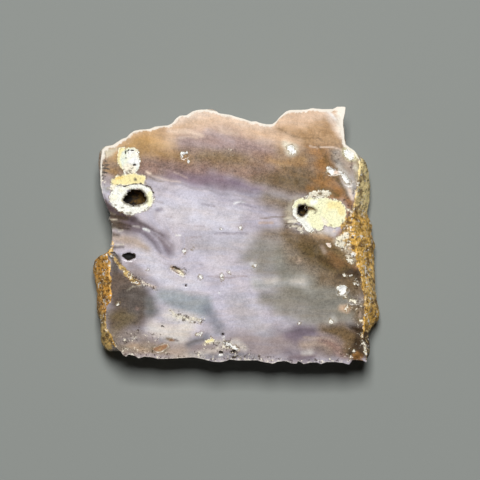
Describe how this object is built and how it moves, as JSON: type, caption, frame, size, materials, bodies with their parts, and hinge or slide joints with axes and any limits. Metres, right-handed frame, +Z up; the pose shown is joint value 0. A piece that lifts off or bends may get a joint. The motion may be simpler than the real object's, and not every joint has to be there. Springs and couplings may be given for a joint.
{
  "type": "chalcedony slab",
  "caption": "Sawn slab of banded purple chalcedony with a polished face, rough ochre rind and crusted tube-shaped hollows, for display, collections, study and stone props.",
  "frame": {"origin": "middle of the sawn lower face that the slab lies on", "axes": "+X along the slab towards the side with the broad ochre rind, +Y across it towards the edge with the spur, +Z up out of the polished face"},
  "size_m": [0.0801, 0.072, 0.016],
  "materials": {
    "chalcedony": "polished upper face, sawn lower face, rough rind and broken stone on the walls"
  },
  "bodies": {
    "root": {"chalcedony_slab": "chalcedony"}
  },
  "joints": []
}
